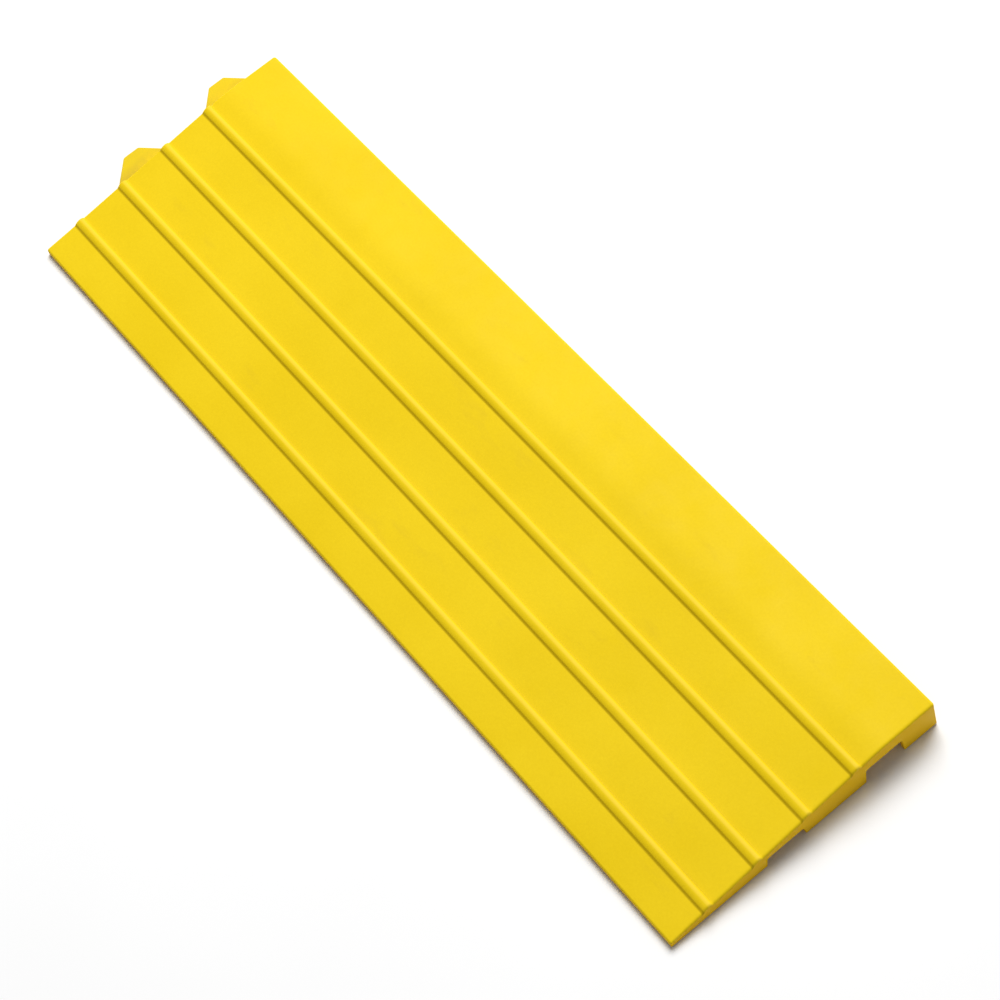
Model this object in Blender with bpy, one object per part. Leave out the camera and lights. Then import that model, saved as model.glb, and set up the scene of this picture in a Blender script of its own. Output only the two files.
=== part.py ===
"""Cable protector ramp: a moulded yellow ramp, two joining keys and three anti-slip strips.

X runs along the ramp, from the keyed end (-X) to the open end (+X). Y runs up the ramp, from
the thin toe (-Y) to the upright back wall (+Y). Z is up and the strips stand on Z = 0.
"""
import math

import bmesh
import bpy
from mathutils import Vector

# Ramp, in metres
LENGTH = 0.914
WIDTH = 0.280
HEIGHT = 0.038
TOE_HEIGHT = 0.008
TOP_WIDTH = 0.058
CREST_BLEND = 0.009
EDGE_RADIUS = 0.0022
TOE_RADIUS = 0.0018

# Treads moulded on the slope
TREAD_COUNT = 4
FIRST_TREAD = 0.0345
TREAD_PITCH = 0.0525
TREAD_WIDTH = 0.0105
TREAD_RISE = 0.0027
TREAD_CREST = 0.56
TREAD_FULLNESS = 0.5

# Cable lanes under the ramp, open at both ends and along the floor
LANE_WIDTH = 0.030
FRONT_LANE_HEIGHT = 0.013
REAR_LANE_HEIGHT = 0.0215
REAR_LANE_SETBACK = 0.055
LANE_SPACING = 0.1046
LANE_DRAFT = 0.0012
LANE_ROUND = 0.0025

# Joining keys: a straight tang held in this ramp, and a head that the next ramp drops over
KEY_REACH = 0.029
TANG_WIDTH = 0.0396
HEAD_WIDTH = 0.0656
TIP_WIDTH = 0.0201
MOUTH_WALL = 0.005
KEY_CLEARANCE = 0.0005
KEY_ARCH_WIDTH = 0.024
KEY_ROOF = 0.0038

# Anti-slip strips bonded into grooves under the ramp
STRIP_THICKNESS = 0.003
STRIP_STAND = 0.0006
STRIP_LANE_MARGIN = 0.0153
STRIP_TOE_MARGIN = 0.034
STRIP_BACK_MARGIN = 0.009
STRIP_END_MARGIN = 0.045
BOND_GAP = 0.0003

# Shared resolution and cutting allowances
ARC_STEPS = 4
TREAD_STEPS = 8
CUT_PAST = 0.005

# Derived places
KEYED_END = (KEY_REACH - LENGTH) / 2
OPEN_END = KEYED_END + LENGTH
TOE_Y = -WIDTH / 2
BACK_Y = WIDTH / 2
CREST_Y = BACK_Y - TOP_WIDTH
SLOPE = (HEIGHT - TOE_HEIGHT) / (CREST_Y - TOE_Y)
REAR_LANE_Y = BACK_Y - REAR_LANE_SETBACK
FRONT_LANE_Y = REAR_LANE_Y - LANE_SPACING
HEAD_SLOPE = (HEAD_WIDTH - TIP_WIDTH) / 2 / (KEY_REACH - MOUTH_WALL)
LANES = (("front", FRONT_LANE_Y, FRONT_LANE_HEIGHT), ("rear", REAR_LANE_Y, REAR_LANE_HEIGHT))


def clear_scene():
    for obj in list(bpy.data.objects):
        bpy.data.objects.remove(obj, do_unlink=True)


def make_material(name, colour, roughness):
    material = bpy.data.materials.new(name)
    material.use_nodes = True
    shader = material.node_tree.nodes["Principled BSDF"]
    shader.inputs["Base Color"].default_value = (*colour, 1.0)
    shader.inputs["Roughness"].default_value = roughness
    shader.inputs["Metallic"].default_value = 0.0
    return material


def slope_height(y):
    """Height of the ramp's plain surface: a straight slope that eases into the flat top."""
    start = CREST_Y - CREST_BLEND
    end = CREST_Y + CREST_BLEND
    if y >= end:
        return HEIGHT
    if y <= start:
        return TOE_HEIGHT + SLOPE * (y - TOE_Y)
    return HEIGHT - SLOPE * (end - y) ** 2 / (4 * CREST_BLEND)


def tread_points(front_y):
    """Section of one rounded tread, from its steep front foot to its back foot."""
    skew = math.log(0.5) / math.log(TREAD_CREST)
    points = []
    for step in range(TREAD_STEPS + 1):
        share = step / TREAD_STEPS
        y = front_y + TREAD_WIDTH * share
        bulge = max(0.0, math.sin(math.pi * share ** skew)) ** TREAD_FULLNESS
        points.append((y, slope_height(y) + TREAD_RISE * bulge))
    return points


def arc_points(centre, radius, start_angle, end_angle):
    points = []
    for step in range(ARC_STEPS + 1):
        angle = start_angle + (end_angle - start_angle) * step / ARC_STEPS
        points.append((centre[0] + radius * math.cos(angle), centre[1] + radius * math.sin(angle)))
    return points


def ramp_section():
    """Ramp outline in Y and Z, starting at the toe's foot and running up the slope to the back."""
    points = [(TOE_Y, STRIP_STAND)]
    toe_centre = (TOE_Y + TOE_RADIUS, TOE_HEIGHT - TOE_RADIUS)
    points += arc_points(toe_centre, TOE_RADIUS, math.pi, math.pi / 2)
    for tread in range(TREAD_COUNT):
        points += tread_points(TOE_Y + FIRST_TREAD + tread * TREAD_PITCH)
    for step in range(ARC_STEPS + 1):
        y = CREST_Y + CREST_BLEND * (2 * step / ARC_STEPS - 1)
        points.append((y, slope_height(y)))
    back_centre = (BACK_Y - EDGE_RADIUS, HEIGHT - EDGE_RADIUS)
    points += arc_points(back_centre, EDGE_RADIUS, math.pi / 2, 0)
    points.append((BACK_Y, STRIP_STAND))
    return points


def inset_section(points, depth):
    """Section with its top and sides moved inwards; its foot stays on the same level."""
    inset = []
    for index, (y, z) in enumerate(points):
        before = Vector(points[index - 1])
        after = Vector(points[(index + 1) % len(points)])
        along_in = (Vector((y, z)) - before).normalized()
        along_out = (after - Vector((y, z))).normalized()
        along = (along_in + along_out).normalized()
        inward = Vector((along.y, -along.x))
        on_foot = index in (0, len(points) - 1)
        if on_foot:
            inward = Vector((1.0 if index == 0 else -1.0, 0.0))
        inset.append((y + depth * inward.x, z + depth * inward.y))
    return inset


def object_from_bmesh(name, mesh_data, material=None):
    bmesh.ops.recalc_face_normals(mesh_data, faces=mesh_data.faces[:])
    mesh = bpy.data.meshes.new(name)
    mesh_data.to_mesh(mesh)
    mesh_data.free()
    obj = bpy.data.objects.new(name, mesh)
    bpy.context.collection.objects.link(obj)
    if material:
        mesh.materials.append(material)
    return obj


def loft(name, rings, material=None):
    """Closed solid through rings of equally many points, with both end rings capped."""
    data = bmesh.new()
    loops = [[data.verts.new(point) for point in ring] for ring in rings]
    for lower, upper in zip(loops, loops[1:]):
        for index in range(len(lower)):
            following = (index + 1) % len(lower)
            data.faces.new((lower[index], lower[following], upper[following], upper[index]))
    data.faces.new(loops[0])
    data.faces.new(list(reversed(loops[-1])))
    return object_from_bmesh(name, data, material)


def ramp_blank(material):
    """The whole ramp with its rounded ends, before anything is cut out of it."""
    section = ramp_section()
    places = []
    for step in range(ARC_STEPS + 1):
        angle = math.pi / 2 * step / ARC_STEPS
        run_in = EDGE_RADIUS * (1 - math.cos(angle))
        depth = EDGE_RADIUS * (1 - math.sin(angle))
        places.append((KEYED_END + run_in, depth))
    places += [(KEYED_END + OPEN_END - x, depth) for x, depth in reversed(places)]
    rings = [[(x, y, z) for y, z in inset_section(section, depth)] for x, depth in places]
    return loft("ramp_body", rings, material)


def mark_cutter(cutter):
    cutter.hide_render = True
    cutter.display_type = "WIRE"
    return cutter


def cut(target, cutter):
    modifier = target.modifiers.new("cut_" + cutter.name, "BOOLEAN")
    modifier.operation = "DIFFERENCE"
    modifier.solver = "EXACT"
    modifier.object = mark_cutter(cutter)


def lane_walls(height):
    """Rows of (height, inset) up one lane wall: slightly drafted, then rounded into the roof."""
    rows = [(-CUT_PAST, 0.0), (height - LANE_ROUND, LANE_DRAFT)]
    for step in range(1, ARC_STEPS + 1):
        angle = math.pi / 2 * step / ARC_STEPS
        z = height - LANE_ROUND + LANE_ROUND * math.sin(angle)
        rows.append((z, LANE_DRAFT + LANE_ROUND * (1 - math.cos(angle))))
    return rows


def keyed_end_widths():
    """Pairs of (depth, half width) down a lane from the keyed end: a plain socket, then the lane."""
    half_socket = TANG_WIDTH / 2 + KEY_CLEARANCE
    socket_end = KEY_REACH + KEY_CLEARANCE
    return [
        (-CUT_PAST, half_socket),
        (socket_end, half_socket),
        (socket_end + KEY_CLEARANCE, LANE_WIDTH / 2),
    ]


def open_end_widths():
    """Pairs of (depth, half width) from the open end: a mouth, the key head's pocket, the lane."""
    half_mouth = TANG_WIDTH / 2 + KEY_CLEARANCE
    pocket_start = MOUTH_WALL - KEY_CLEARANCE
    pocket_tip = KEY_REACH + KEY_CLEARANCE
    half_tip = TIP_WIDTH / 2 + KEY_CLEARANCE
    half_pocket = half_tip + HEAD_SLOPE * (pocket_tip - pocket_start)
    lane_start = pocket_tip - (LANE_WIDTH / 2 - half_tip) / HEAD_SLOPE
    return [
        (-CUT_PAST, half_mouth),
        (pocket_start - KEY_CLEARANCE, half_mouth),
        (pocket_start, half_pocket),
        (lane_start, LANE_WIDTH / 2),
    ]


def lane_cutter(name, lane_y, height):
    """Tool for one lane, with a key socket at each end."""
    stations = [(KEYED_END + depth, half) for depth, half in keyed_end_widths()]
    stations += [(OPEN_END - depth, half) for depth, half in reversed(open_end_widths())]
    rows = lane_walls(height)
    rings = []
    for x, half in stations:
        left = [(x, lane_y - half + inset, z) for z, inset in rows]
        right = [(x, lane_y + half - inset, z) for z, inset in reversed(rows)]
        rings.append(left + right)
    return loft(name, rings)


def box(name, low, high, material=None):
    data = bmesh.new()
    bmesh.ops.create_cube(data, size=1.0)
    size = Vector(high) - Vector(low)
    centre = (Vector(high) + Vector(low)) / 2
    bmesh.ops.scale(data, vec=size, verts=data.verts)
    bmesh.ops.translate(data, vec=centre, verts=data.verts)
    return object_from_bmesh(name, data, material)


def strip_spans():
    """Where the strips lie across the ramp: on the three lands beside the lanes."""
    beside_lane = LANE_WIDTH / 2 + STRIP_LANE_MARGIN
    return (
        ("front", TOE_Y + STRIP_TOE_MARGIN, FRONT_LANE_Y - beside_lane),
        ("middle", FRONT_LANE_Y + beside_lane, REAR_LANE_Y - beside_lane),
        ("rear", REAR_LANE_Y + beside_lane, BACK_Y - STRIP_BACK_MARGIN),
    )


def make_strip(name, low_y, high_y, material):
    low = (KEYED_END + STRIP_END_MARGIN, low_y, 0.0)
    high = (OPEN_END - STRIP_END_MARGIN, high_y, STRIP_THICKNESS)
    return box(name, low, high, material)


def strip_groove(name, low_y, high_y):
    gap = BOND_GAP
    low = (KEYED_END + STRIP_END_MARGIN - gap, low_y - gap, STRIP_STAND - CUT_PAST)
    high = (OPEN_END - STRIP_END_MARGIN + gap, high_y + gap, STRIP_THICKNESS + gap)
    return box(name, low, high)


def key_ring(narrowing, z):
    """Key outline at one height, from its tang (+X) to its tip, sides drawn in by the narrowing."""
    half_tang = TANG_WIDTH / 2 - narrowing
    half_head = HEAD_WIDTH / 2 - narrowing
    half_tip = TIP_WIDTH / 2 - narrowing / 2
    side = [
        (KEY_REACH, half_tang),
        (-MOUTH_WALL, half_tang),
        (-MOUTH_WALL, half_head),
        (-KEY_REACH, half_tip),
    ]
    outline = side + [(x, -y) for x, y in reversed(side)]
    return [(x, y, z) for x, y in outline]


def make_key(name, lane_y, lane_height, material):
    """Arrow-headed key on its slide axis, following the lane's walls and arched over the cable."""
    top = lane_height - KEY_CLEARANCE
    rings = [key_ring(0.0, 0.0)]
    for z, inset in lane_walls(lane_height)[1:]:
        rings.append(key_ring(inset, z - KEY_CLEARANCE))
    key = loft(name, rings, material)
    arch_low = (-KEY_REACH - CUT_PAST, -KEY_ARCH_WIDTH / 2, -CUT_PAST)
    arch_high = (KEY_REACH + CUT_PAST, KEY_ARCH_WIDTH / 2, top - KEY_ROOF)
    arch = box(name + "_arch", arch_low, arch_high)
    for piece in (key, arch):
        piece.location = (KEYED_END, lane_y, 0.0)
    cut(key, arch)
    return key


def build():
    clear_scene()
    yellow = make_material("moulded_yellow", (0.86, 0.60, 0.012), 0.5)
    rubber = make_material("strip_rubber", (0.02, 0.02, 0.021), 0.85)
    body = ramp_blank(yellow)
    for side, lane_y, lane_height in LANES:
        cut(body, lane_cutter(side + "_lane", lane_y, lane_height))
        make_key(side + "_joining_key", lane_y, lane_height, yellow)
    for side, low_y, high_y in strip_spans():
        cut(body, strip_groove(side + "_groove", low_y, high_y))
        make_strip(side + "_grip_strip", low_y, high_y, rubber)


build()
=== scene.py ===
"""Looks of the cable protector ramp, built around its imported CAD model.

X runs along the ramp, Y runs up it from the toe to the upright back, and Z is up.
"""

import math

import bmesh
import bpy
from mathutils import Matrix, Vector


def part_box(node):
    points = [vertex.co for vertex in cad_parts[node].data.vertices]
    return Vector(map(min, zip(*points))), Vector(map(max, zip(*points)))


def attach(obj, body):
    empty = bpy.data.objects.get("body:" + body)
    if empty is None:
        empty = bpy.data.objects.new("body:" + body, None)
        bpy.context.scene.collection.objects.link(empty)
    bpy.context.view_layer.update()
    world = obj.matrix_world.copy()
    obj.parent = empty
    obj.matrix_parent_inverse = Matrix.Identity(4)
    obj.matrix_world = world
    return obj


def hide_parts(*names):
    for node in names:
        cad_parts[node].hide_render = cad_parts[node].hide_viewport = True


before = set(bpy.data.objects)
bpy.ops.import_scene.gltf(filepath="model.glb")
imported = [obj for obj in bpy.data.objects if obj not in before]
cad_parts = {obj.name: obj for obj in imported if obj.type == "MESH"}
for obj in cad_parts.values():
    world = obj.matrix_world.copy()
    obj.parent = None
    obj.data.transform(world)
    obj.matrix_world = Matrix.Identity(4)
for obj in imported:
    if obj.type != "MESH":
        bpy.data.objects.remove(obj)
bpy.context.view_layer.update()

# Places read from the frame
BODY_LOW, BODY_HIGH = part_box("ramp_body")
KEYED_END, OPEN_END = BODY_LOW.x, BODY_HIGH.x
TOE_Y, BACK_Y = BODY_LOW.y, BODY_HIGH.y
FOOT_Z = BODY_LOW.z
MIDDLE_X = (KEYED_END + OPEN_END) / 2

# Section of the ramp, in metres, as in the CAD model
HEIGHT = 0.038
TOE_HEIGHT = 0.008
TOP_WIDTH = 0.058
CREST_BLEND = 0.009
EDGE_RADIUS = 0.0026
EDGE_GROWTH = 0.2
END_ROUNDING = 0.9
TOE_RADIUS = 0.0018
TREAD_COUNT = 4
FIRST_TREAD = 0.0345
TREAD_PITCH = 0.0525
TREAD_WIDTH = 0.0105
TREAD_RISE = 0.0027
TREAD_CREST = 0.56
TREAD_FULLNESS = 0.5

# Lanes and joining keys
LANE_WIDTH = 0.030
LANE_DRAFT = 0.0012
LANE_ROUND = 0.0025
TANG_WIDTH = 0.0396
HEAD_WIDTH = 0.0656
TIP_WIDTH = 0.0201
MOUTH_WALL = 0.005
KEY_CLEARANCE = 0.0005
KEY_ARCH_WIDTH = 0.024
KEY_ROOF = 0.0038

# Finish of the mouldings
FOOT_RADIUS = 0.0008
SOFTENING = 0.0006
KEY_CORNER = 0.0022
NECK_CORNER = 0.0008
STEP_BLEND = 0.0006
KEY_EDGE = 0.0007
RIDGE_PITCH = 0.0042
RIDGE_DEPTH = 0.0005

# Painted light on the ramp and keys: a painted shade band at each tread's foot, a painted highlight band
# along each tread's crest, and a painted shadow patch at each key's root
FOOT_SHADE_BAND = 0.0017
CREST_HIGHLIGHT_PLACE = 0.0078
CREST_HIGHLIGHT_BAND = 0.0024
ROOT_SHADOW_REACH = 0.020

# Shading
SHARP_ANGLE = math.radians(38)
FLAT_FACE_WEIGHT = 80

# Studio: the softbox stands behind the ramp's back and its keyed end
LIGHT_DIRECTION = Vector((-0.34, 0.40, 0.82))
LIGHT_DISTANCE = 6.5
LIGHT_SIZE = 4.4
LIGHT_WATTS = 538.0
WORLD_STRENGTH = 0.20
FLOOR_REACH = 6.0
FLOOR_DEPTH = 0.02

# View from high above the open end, tilted to one side
CAMERA_AIM = Vector((0.0625, 0.0644, 0.0))
CAMERA_DISTANCE = 2.4368
CAMERA_AZIMUTH = math.radians(-22.12)
CAMERA_ELEVATION = math.radians(59.34)
CAMERA_ROLL = math.radians(-19.18)
CAMERA_LENS = 101.32
CAMERA_SHIFT = (-0.05, -0.04)

# Resolution
ARC_STEPS = 5
TREAD_STEPS = 30
FLAT_STEPS = 4
CREST_STEPS = 10
ROUND_STATIONS = 5
STATION_GAP = 0.00008

SLOPE_END = BACK_Y - TOP_WIDTH
SLOPE = (HEIGHT - TOE_HEIGHT) / (SLOPE_END - TOE_Y)


class Lane:
    """One cable lane and its key: where it runs and how high its roof is."""

    def __init__(self, side):
        key_low, key_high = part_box(side + "_joining_key")
        self.side = side
        self.centre_y = (key_low.y + key_high.y) / 2
        self.key_top = key_high.z
        self.roof = key_high.z + KEY_CLEARANCE
        self.key_reach = (key_high.x - key_low.x) / 2


LANES = [Lane("rear"), Lane("front")]
KEY_REACH = LANES[0].key_reach
HEAD_SLOPE = (HEAD_WIDTH - TIP_WIDTH) / 2 / (KEY_REACH - MOUTH_WALL)


def plain_height(y):
    """Height of the ramp without treads: a straight slope easing into the flat top."""
    start, end = SLOPE_END - CREST_BLEND, SLOPE_END + CREST_BLEND
    if y >= end:
        return HEIGHT
    if y <= start:
        return TOE_HEIGHT + SLOPE * (y - TOE_Y)
    return HEIGHT - SLOPE * (end - y) ** 2 / (4 * CREST_BLEND)


def moulded_height(y):
    """Height of the ramp with its treads."""
    skew = math.log(0.5) / math.log(TREAD_CREST)
    for tread in range(TREAD_COUNT):
        share = (y - TOE_Y - FIRST_TREAD - tread * TREAD_PITCH) / TREAD_WIDTH
        if 0 < share < 1:
            return plain_height(y) + TREAD_RISE * math.sin(math.pi * share ** skew) ** TREAD_FULLNESS
    return plain_height(y)


def soft_height(y):
    """Height with every crease softened over the mould's corner radius."""
    samples = [moulded_height(y + SOFTENING * offset / 4) for offset in range(-4, 5)]
    return sum(samples) / len(samples)


def spaced(start, end, steps):
    return [start + (end - start) * step / steps for step in range(steps)]


def surface_places():
    """Places across the ramp where its upper surface is drawn: close at treads, wide between."""
    places = []
    reached = TOE_Y + TOE_RADIUS
    for tread in range(TREAD_COUNT):
        front = TOE_Y + FIRST_TREAD + tread * TREAD_PITCH - 2 * SOFTENING
        back = front + TREAD_WIDTH + 4 * SOFTENING
        places += spaced(reached, front, FLAT_STEPS) + spaced(front, back, TREAD_STEPS)
        reached = back
    places += spaced(reached, SLOPE_END - CREST_BLEND, FLAT_STEPS)
    places += spaced(SLOPE_END - CREST_BLEND, SLOPE_END + CREST_BLEND, CREST_STEPS)
    places += spaced(SLOPE_END + CREST_BLEND, BACK_Y - EDGE_RADIUS, FLAT_STEPS)
    return places


def arc(centre, radius, start_angle, end_angle, steps=ARC_STEPS):
    points = []
    for step in range(steps + 1):
        angle = start_angle + (end_angle - start_angle) * step / steps
        points.append((centre[0] + radius * math.cos(angle), centre[1] + radius * math.sin(angle)))
    return points


def keyed_end_widths():
    """Pairs of (depth, half width) down a lane from the keyed end: a plain socket, then the lane."""
    half_socket = TANG_WIDTH / 2 + KEY_CLEARANCE
    socket_end = KEY_REACH + KEY_CLEARANCE
    return [
        (0.0, half_socket),
        (socket_end - STEP_BLEND, half_socket),
        (socket_end, LANE_WIDTH / 2 + STEP_BLEND),
        (socket_end + STEP_BLEND, LANE_WIDTH / 2),
    ]


def open_end_widths():
    """Pairs of (depth, half width) from the open end: a mouth, the key head's pocket, the lane."""
    half_mouth = TANG_WIDTH / 2 + KEY_CLEARANCE
    pocket_start = MOUTH_WALL - KEY_CLEARANCE
    pocket_tip = KEY_REACH + KEY_CLEARANCE
    half_tip = TIP_WIDTH / 2 + KEY_CLEARANCE
    half_pocket = half_tip + HEAD_SLOPE * (pocket_tip - pocket_start)
    lane_start = pocket_tip - (LANE_WIDTH / 2 - half_tip) / HEAD_SLOPE
    return [
        (0.0, half_mouth),
        (pocket_start - STEP_BLEND, half_mouth),
        (pocket_start, half_pocket - STEP_BLEND),
        (pocket_start + STEP_BLEND, half_pocket - STEP_BLEND),
        (lane_start - STEP_BLEND, LANE_WIDTH / 2 + HEAD_SLOPE * STEP_BLEND),
        (lane_start + STEP_BLEND, LANE_WIDTH / 2),
    ]


def lane_half_width(x):
    """Half width of the lanes at one place along the ramp."""
    widths = keyed_end_widths() if x < MIDDLE_X else open_end_widths()
    depth = x - KEYED_END if x < MIDDLE_X else OPEN_END - x
    for (start, half), (end, next_half) in zip(widths, widths[1:]):
        if start <= depth <= end:
            return half + (next_half - half) * (depth - start) / (end - start)
    return LANE_WIDTH / 2


def lane_notch(lane, half_width):
    """Outline of one lane seen along the ramp, from its back foot over the roof to its front foot."""
    side = [(-half_width - FOOT_RADIUS, FOOT_Z)]
    side += arc((-half_width - FOOT_RADIUS, FOOT_Z + FOOT_RADIUS), FOOT_RADIUS, -math.pi / 2, 0)[1:]
    wall_top = -half_width + LANE_DRAFT
    roof_centre = (wall_top + LANE_ROUND, lane.roof - LANE_ROUND)
    side += arc(roof_centre, LANE_ROUND, math.pi, math.pi / 2)
    front = [(lane.centre_y + y, z) for y, z in side]
    back = [(lane.centre_y - y, z) for y, z in side]
    return back + list(reversed(front))


def edge_radius(z):
    """Rounding of the ends' upper edge, which grows from the thin toe up the ramp."""
    return min(EDGE_RADIUS, TOE_RADIUS + EDGE_GROWTH * max(0.0, z - TOE_HEIGHT))


def ramp_outline(x):
    """Closed outline at one place along the ramp, as (y, z, end radius, on treads) points."""
    toe = arc((TOE_Y + TOE_RADIUS, TOE_HEIGHT - TOE_RADIUS), TOE_RADIUS, math.pi, math.pi / 2)[:-1]
    treaded = [(y, soft_height(y)) for y in surface_places()]
    back = arc((BACK_Y - EDGE_RADIUS, HEIGHT - EDGE_RADIUS), EDGE_RADIUS, math.pi / 2, 0)
    foot_back = arc((BACK_Y - FOOT_RADIUS, FOOT_Z + FOOT_RADIUS), FOOT_RADIUS, 0, -math.pi / 2)
    foot_toe = arc((TOE_Y + FOOT_RADIUS, FOOT_Z + FOOT_RADIUS), FOOT_RADIUS, -math.pi / 2, -math.pi)
    lower = list(foot_back)
    for lane in LANES:
        lower += lane_notch(lane, lane_half_width(x))
    lower += foot_toe
    points = [(y, z, edge_radius(z), False) for y, z in toe]
    points += [(y, z, edge_radius(z), True) for y, z in treaded]
    points += [(y, z, edge_radius(z), False) for y, z in back]
    return points + [(y, z, FOOT_RADIUS, False) for y, z in lower]


def rounded_depth(station, radius):
    """How far a rounded end draws the outline in, at a distance from the end face.

    It stays short of the whole radius, so that no rounded corner shrinks to a point.
    """
    if station >= radius:
        return 0.0
    return END_ROUNDING * (radius - math.sqrt(radius ** 2 - (radius - station) ** 2))


def ring_at(x):
    """Outline at one place along the ramp, drawn in where the end is rounded.

    The treaded surface is lowered straight down, so that its hollow corners stay open.
    """
    station = min(x - KEYED_END, OPEN_END - x)
    outline = ramp_outline(x)
    ring = []
    for index, (y, z, radius, on_treads) in enumerate(outline):
        before = Vector(outline[index - 1][:2])
        after = Vector(outline[(index + 1) % len(outline)][:2])
        along = Vector((1.0, 0.0)) if on_treads else (after - before).normalized()
        depth = rounded_depth(station, radius)
        ring.append(Vector((x, y + depth * along.y, z - depth * along.x)))
    return ring


def end_stations(widths):
    """Distances from an end where the shape changes: its rounding, then its sockets' corners."""
    stations = {depth for depth, _ in widths}
    for radius in (FOOT_RADIUS, TOE_RADIUS, EDGE_RADIUS):
        for step in range(1, ROUND_STATIONS + 1):
            stations.add(radius * (1 - math.cos(math.pi / 2 * step / ROUND_STATIONS)))
    kept = []
    for station in sorted(stations):
        if not kept or station - kept[-1] > STATION_GAP:
            kept.append(station)
    return kept


def mesh_object(name, data):
    bmesh.ops.recalc_face_normals(data, faces=data.faces[:])
    mesh = bpy.data.meshes.new(name)
    data.to_mesh(mesh)
    data.free()
    obj = bpy.data.objects.new(name, mesh)
    bpy.context.scene.collection.objects.link(obj)
    return obj


def loft(name, rings):
    """Closed solid through rings of equally many points, capped at both ends."""
    data = bmesh.new()
    loops = [[data.verts.new(point) for point in ring] for ring in rings]
    for lower, upper in zip(loops, loops[1:]):
        for index in range(len(lower)):
            following = (index + 1) % len(lower)
            data.faces.new((lower[index], lower[following], upper[following], upper[index]))
    data.faces.new(loops[0])
    data.faces.new(list(reversed(loops[-1])))
    return mesh_object(name, data)


def shade(obj):
    """Smooth shading that keeps flat faces flat and real corners sharp."""
    obj.data.shade_smooth()
    obj.data.set_sharp_from_angle(angle=SHARP_ANGLE)
    weighted = obj.modifiers.new("weighted_normals", "WEIGHTED_NORMAL")
    weighted.keep_sharp = True
    weighted.weight = FLAT_FACE_WEIGHT


def cut_away(obj, cutter):
    """Subtracts the cutter for good, so no cutter is left in the scene."""
    modifier = obj.modifiers.new("cut", "BOOLEAN")
    modifier.operation = "DIFFERENCE"
    modifier.solver = "EXACT"
    modifier.object = cutter
    evaluated = obj.evaluated_get(bpy.context.evaluated_depsgraph_get())
    mesh = bpy.data.meshes.new_from_object(evaluated)
    obj.modifiers.clear()
    obj.data = mesh
    bpy.data.objects.remove(cutter)


def make_ramp():
    xs = [KEYED_END + station for station in end_stations(keyed_end_widths())]
    xs += [OPEN_END - station for station in reversed(end_stations(open_end_widths()))]
    shell = loft("ramp_shell", [ring_at(x) for x in xs])
    for side in ("front", "middle", "rear"):
        low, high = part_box(side + "_grip_strip")
        gap = Vector((KEY_CLEARANCE, KEY_CLEARANCE, 0.0))
        cut_away(shell, block("groove", low - gap - Vector((0, 0, FOOT_Z)), high + gap))
    shade(shell)
    return shell


def block(name, low, high):
    data = bmesh.new()
    bmesh.ops.create_cube(data, size=1.0)
    bmesh.ops.scale(data, vec=high - low, verts=data.verts)
    bmesh.ops.translate(data, vec=(high + low) / 2, verts=data.verts)
    return mesh_object(name, data)


def rounded_polygon(corners):
    """Polygon of (x, y, radius) corners with each corner replaced by an arc of that radius."""
    points = []
    for index, (x, y, radius) in enumerate(corners):
        here = Vector((x, y))
        towards_last = (Vector(corners[index - 1][:2]) - here).normalized()
        towards_next = (Vector(corners[(index + 1) % len(corners)][:2]) - here).normalized()
        half_angle = towards_last.angle(towards_next) / 2
        reach = radius / math.tan(half_angle)
        start = here + towards_last * reach
        end = here + towards_next * reach
        centre = here + (towards_last + towards_next).normalized() * radius / math.sin(half_angle)
        for step in range(ARC_STEPS + 1):
            spoke = start.lerp(end, step / ARC_STEPS) - centre
            points.append(centre + spoke.normalized() * radius)
    return points


def key_outline(inset):
    """Outline of a key from above, tang towards +X, with its sides drawn in by the inset."""
    half_tang = TANG_WIDTH / 2 - inset
    half_head = HEAD_WIDTH / 2 - inset
    half_tip = TIP_WIDTH / 2 - inset / 2
    side = [
        (KEY_REACH, half_tang, KEY_CORNER),
        (-MOUTH_WALL, half_tang, NECK_CORNER),
        (-MOUTH_WALL, half_head, NECK_CORNER),
        (-KEY_REACH, half_tip, KEY_CORNER),
    ]
    return rounded_polygon(side + [(x, -y, radius) for x, y, radius in reversed(side)])


def make_key(lane):
    """Rounded arrow-headed key, arched underneath so that a cable passes."""
    rows = [(KEY_EDGE, 0.0), (0.0, KEY_EDGE)]
    rows.append((LANE_DRAFT, lane.key_top - LANE_ROUND))
    for step in range(1, ARC_STEPS + 1):
        angle = math.pi / 2 * step / ARC_STEPS
        inset = LANE_DRAFT + LANE_ROUND * (1 - math.cos(angle))
        rows.append((inset, lane.key_top - LANE_ROUND * (1 - math.sin(angle))))
    rings = [[Vector((x, y, z)) for x, y in key_outline(inset)] for inset, z in rows]
    key = loft(lane.side + "_key_shell", rings)
    low = Vector((-2 * KEY_REACH, -KEY_ARCH_WIDTH / 2, -KEY_ROOF))
    high = Vector((2 * KEY_REACH, KEY_ARCH_WIDTH / 2, lane.key_top - KEY_ROOF))
    cut_away(key, block("arch", low, high))
    key.data.transform(Matrix.Translation((KEYED_END, lane.centre_y, 0.0)))
    shade(key)
    return key


def make_strip(side):
    """Rubber strip with fine ridges along its underside."""
    low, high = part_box(side + "_grip_strip")
    ridges = max(2, round((high.y - low.y) / RIDGE_PITCH))
    pitch = (high.y - low.y) / ridges
    section = [(high.y, high.z), (low.y, high.z)]
    for ridge in range(ridges):
        start = low.y + ridge * pitch
        groove = low.z + RIDGE_DEPTH
        section += [(start, groove), (start + 0.2 * pitch, low.z)]
        section += [(start + 0.7 * pitch, low.z), (start + 0.9 * pitch, groove)]
    section.append((high.y, low.z + RIDGE_DEPTH))
    rings = [[Vector((x, y, z)) for y, z in section] for x in (low.x, high.x)]
    strip = loft(side + "_strip_rubber", rings)
    strip.data.shade_flat()
    return strip


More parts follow.
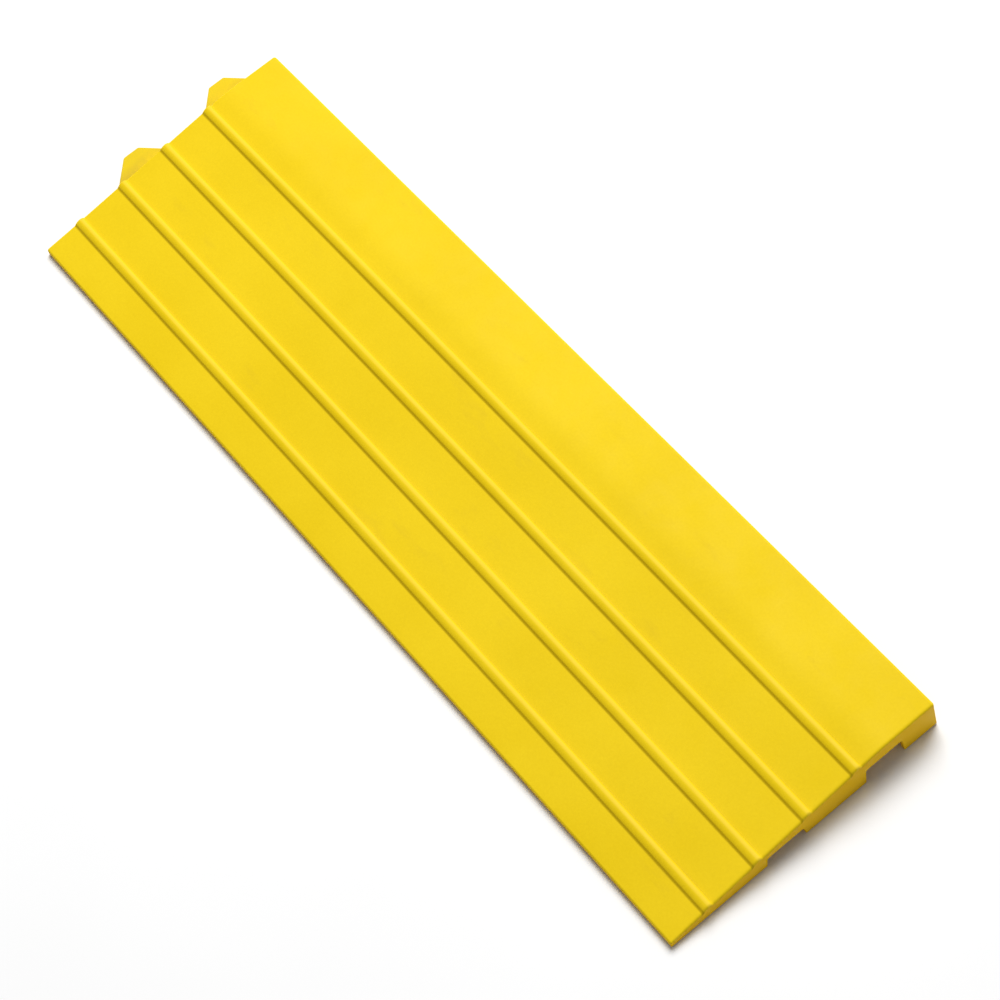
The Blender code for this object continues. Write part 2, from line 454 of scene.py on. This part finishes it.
class Nodes:
    """Short hand for building one material's node tree."""

    def __init__(self, name):
        self.material = bpy.data.materials.new(name)
        self.material.use_nodes = True
        self.tree = self.material.node_tree
        self.shader = self.tree.nodes["Principled BSDF"]
        coordinates = self.add("ShaderNodeTexCoord")
        self.place = coordinates.outputs["Object"]
        self.facing = coordinates.outputs["Normal"]

    def add(self, kind, **values):
        node = self.tree.nodes.new(kind)
        for name, value in values.items():
            setattr(node, name, value)
        return node

    def link(self, source, target):
        self.tree.links.new(source, target)

    def axis(self, vector, name):
        node = self.add("ShaderNodeSeparateXYZ")
        self.link(vector, node.inputs["Vector"])
        return node.outputs[name]

    def math(self, operation, first, second):
        node = self.add("ShaderNodeMath", operation=operation)
        for socket, value in enumerate((first, second)):
            if hasattr(value, "is_linked"):
                self.link(value, node.inputs[socket])
            else:
                node.inputs[socket].default_value = value
        return node.outputs["Value"]

    def noise(self, scale, detail=3.0, roughness=0.5, stretch=(1, 1, 1)):
        mapping = self.add("ShaderNodeMapping")
        mapping.inputs["Scale"].default_value = stretch
        self.link(self.place, mapping.inputs["Vector"])
        noise = self.add("ShaderNodeTexNoise")
        noise.inputs["Scale"].default_value = scale
        noise.inputs["Detail"].default_value = detail
        noise.inputs["Roughness"].default_value = roughness
        self.link(mapping.outputs["Vector"], noise.inputs["Vector"])
        return noise.outputs["Fac"]

    def span(self, source, low, high, to_low=0.0, to_high=1.0):
        node = self.add("ShaderNodeMapRange")
        for name, value in (("From Min", low), ("From Max", high), ("To Min", to_low), ("To Max", to_high)):
            node.inputs[name].default_value = value
        self.link(source, node.inputs["Value"])
        return node.outputs["Result"]

    def mix(self, share, first, second, blend="MIX"):
        node = self.add("ShaderNodeMix", data_type="RGBA", blend_type=blend)
        for socket, value in ((0, share), (6, first), (7, second)):
            if hasattr(value, "is_linked"):
                self.link(value, node.inputs[socket])
            else:
                node.inputs[socket].default_value = value
        return node.outputs[2]

    def bump(self, height, strength, distance, below=None):
        node = self.add("ShaderNodeBump")
        node.inputs["Strength"].default_value = strength
        node.inputs["Distance"].default_value = distance
        self.link(height, node.inputs["Height"])
        if below:
            self.link(below, node.inputs["Normal"])
        return node.outputs["Normal"]


def cast_yellow(nodes):
    """Colour of the cast polyurethane: mottled, with fine grain, scuffs, painted shade in hollow creases,
    worn edges.
    """
    mottle = nodes.span(nodes.noise(9.0, 4.0, 0.55), 0.35, 0.68)
    base = nodes.mix(mottle, (0.835, 0.590, 0.006, 1), (0.880, 0.630, 0.010, 1))
    grain = nodes.span(nodes.noise(420.0, 2.0, 0.6), 0.3, 0.7)
    grained = nodes.mix(grain, (0.96, 0.955, 0.9, 1), (1.0, 1.0, 1.0, 1))
    base = nodes.mix(1.0, base, grained, "MULTIPLY")
    scuffs = nodes.span(nodes.noise(26.0, 6.0, 0.62, (0.5, 1.4, 1)), 0.60, 0.78, 0.0, 0.30)
    base = nodes.mix(scuffs, base, (0.62, 0.42, 0.020, 1))
    point = nodes.add("ShaderNodeNewGeometry").outputs["Pointiness"]
    # painted shade: hollow creases, where pointiness is low, are darkened
    base = nodes.mix(nodes.span(point, 0.492, 0.455, 0.0, 0.45), base, (0.36, 0.235, 0.006, 1))
    return nodes.mix(nodes.span(point, 0.515, 0.56, 0.0, 0.30), base, (0.95, 0.74, 0.04, 1))


def shaded_sides_tint(nodes, base):
    """Upright faces get a painted shade tint, more orange than the lit tops."""
    upright = nodes.span(nodes.axis(nodes.facing, "Z"), 0.55, 0.05, 0.0, 0.8)
    # painted shade: upright faces are tinted a darker orange, as if in shade
    return nodes.mix(upright, base, (0.90, 0.52, 0.001, 1))


def cast_finish(nodes, base):
    """Patchy sheen, slow waves and fine pebbling left by the mould."""
    nodes.link(base, nodes.shader.inputs["Base Color"])
    sheen_patches = nodes.noise(34.0, 5.0, 0.6)
    nodes.link(nodes.span(sheen_patches, 0.3, 0.7, 0.44, 0.60), nodes.shader.inputs["Roughness"])
    nodes.shader.inputs["Specular IOR Level"].default_value = 0.07
    waves = nodes.bump(nodes.noise(16.0, 2.0, 0.4), 0.2, 0.0012)
    pebbles = nodes.bump(nodes.noise(620.0, 3.0, 0.55), 0.22, 0.0003, waves)
    nodes.link(pebbles, nodes.shader.inputs["Normal"])
    return nodes.material


def tread_band(nodes, place, half_width, strength):
    """Mask of a band along every tread, at one distance behind the tread's foot."""
    across = nodes.axis(nodes.place, "Y")
    behind = nodes.math("SUBTRACT", across, TOE_Y + FIRST_TREAD + place)
    distance = nodes.math("PINGPONG", behind, TREAD_PITCH / 2)
    band = nodes.span(distance, half_width / 2, half_width, strength, 0.0)
    on_slope = nodes.span(across, SLOPE_END - CREST_BLEND, SLOPE_END, 1.0, 0.0)
    upward = nodes.span(nodes.axis(nodes.facing, "Z"), 0.08, 0.20)
    return nodes.math("MULTIPLY", nodes.math("MULTIPLY", band, on_slope), upward)


def ramp_yellow():
    """Cast yellow with painted shade at each tread's foot and a painted highlight along the crest behind
    it.
    """
    nodes = Nodes("ramp_yellow_cast")
    base = shaded_sides_tint(nodes, cast_yellow(nodes))
    # painted highlight: a lighter band along the back of each tread's crest
    base = nodes.mix(tread_band(nodes, CREST_HIGHLIGHT_PLACE, CREST_HIGHLIGHT_BAND, 0.75), base, (0.885, 0.625, 0.036, 1))
    # painted shade: a dark band along each tread's foot
    base = nodes.mix(tread_band(nodes, 0.0, FOOT_SHADE_BAND, 0.38), base, (0.36, 0.225, 0.002, 1))
    return cast_finish(nodes, base)


def key_yellow():
    """Cast yellow under a thin film, as no tyre rubs it, and a painted shadow at the key's root."""
    nodes = Nodes("key_yellow_cast")
    film = nodes.span(nodes.noise(38.0, 3.0), 0.3, 0.7, 0.55, 0.85)
    base = nodes.mix(film, shaded_sides_tint(nodes, cast_yellow(nodes)), (0.735, 0.535, 0.012, 1))
    along = nodes.axis(nodes.place, "X")
    # painted shadow: a dark patchy area on the key near where it meets the ramp's end
    root = nodes.span(along, KEYED_END - ROOT_SHADOW_REACH, KEYED_END, 0.0, 0.9)
    shadow_blotches = nodes.span(nodes.noise(55.0, 5.0, 0.6), 0.36, 0.58)
    base = nodes.mix(nodes.math("MULTIPLY", root, shadow_blotches), base, (0.50, 0.36, 0.030, 1))
    return cast_finish(nodes, base)


def strip_rubber():
    """Black rubber with floor dust on its high spots."""
    nodes = Nodes("strip_rubber_black")
    dust = nodes.span(nodes.noise(60.0, 6.0, 0.65), 0.48, 0.75, 0.0, 0.5)
    base = nodes.mix(dust, (0.018, 0.018, 0.019, 1), (0.075, 0.070, 0.062, 1))
    nodes.link(base, nodes.shader.inputs["Base Color"])
    nodes.link(nodes.span(nodes.noise(240.0, 3.0), 0.3, 0.7, 0.72, 0.92), nodes.shader.inputs["Roughness"])
    nodes.link(nodes.bump(nodes.noise(900.0, 3.0), 0.4, 0.0002), nodes.shader.inputs["Normal"])
    return nodes.material


def floor_material():
    nodes = Nodes("studio_floor")
    tone = nodes.span(nodes.noise(3.0, 2.0), 0.3, 0.7)
    pale = nodes.mix(tone, (0.93, 0.93, 0.93, 1), (0.95, 0.95, 0.95, 1))
    nodes.link(pale, nodes.shader.inputs["Base Color"])
    nodes.shader.inputs["Roughness"].default_value = 0.9
    return nodes.material


def place_piece(piece, body, node, material):
    piece.data.materials.clear()
    piece.data.materials.append(material)
    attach(piece, body)
    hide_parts(node)


def build_object():
    key_material = key_yellow()
    rubber = strip_rubber()
    place_piece(make_ramp(), "ramp", "ramp_body", ramp_yellow())
    for lane in LANES:
        node = lane.side + "_joining_key"
        place_piece(make_key(lane), lane.side + "_key", node, key_material)
    for side in ("front", "middle", "rear"):
        place_piece(make_strip(side), "ramp", side + "_grip_strip", rubber)


def build_stage():
    low = Vector((-FLOOR_REACH, -FLOOR_REACH, -FLOOR_DEPTH))
    floor = block("floor", low, Vector((FLOOR_REACH, FLOOR_REACH, 0.0)))
    floor.data.materials.append(floor_material())
    world = bpy.data.worlds.new("studio")
    bpy.context.scene.world = world
    world.use_nodes = True
    background = world.node_tree.nodes["Background"]
    background.inputs["Color"].default_value = (1.0, 1.0, 1.0, 1)
    background.inputs["Strength"].default_value = WORLD_STRENGTH


def build_light():
    """One broad softbox, so that the end face and the treads' fronts fall in soft shade."""
    light = bpy.data.lights.new("softbox", "AREA")
    light.shape = "SQUARE"
    light.size = LIGHT_SIZE
    light.energy = LIGHT_WATTS
    obj = bpy.data.objects.new("softbox", light)
    direction = LIGHT_DIRECTION.normalized()
    obj.location = Vector((MIDDLE_X, 0.0, 0.0)) + direction * LIGHT_DISTANCE
    obj.rotation_euler = (-direction).to_track_quat("-Z", "Y").to_euler()
    bpy.context.scene.collection.objects.link(obj)


def build_camera():
    """Long lens looking down on the ramp, with its open end nearest."""
    towards_camera = Vector((
        math.cos(CAMERA_ELEVATION) * math.cos(CAMERA_AZIMUTH),
        math.cos(CAMERA_ELEVATION) * math.sin(CAMERA_AZIMUTH),
        math.sin(CAMERA_ELEVATION),
    ))
    data = bpy.data.cameras.new("camera")
    data.sensor_width = 36.0
    data.lens = CAMERA_LENS
    data.shift_x, data.shift_y = CAMERA_SHIFT
    camera = bpy.data.objects.new("camera", data)
    place = Matrix.Translation(CAMERA_AIM + towards_camera * CAMERA_DISTANCE)
    level = (-towards_camera).to_track_quat("-Z", "Y").to_matrix().to_4x4()
    camera.matrix_world = place @ level @ Matrix.Rotation(CAMERA_ROLL, 4, "Z")
    bpy.context.scene.collection.objects.link(camera)
    bpy.context.scene.camera = camera


build_object()
build_stage()
build_light()
build_camera()
bpy.context.scene.view_settings.view_transform = "Standard"
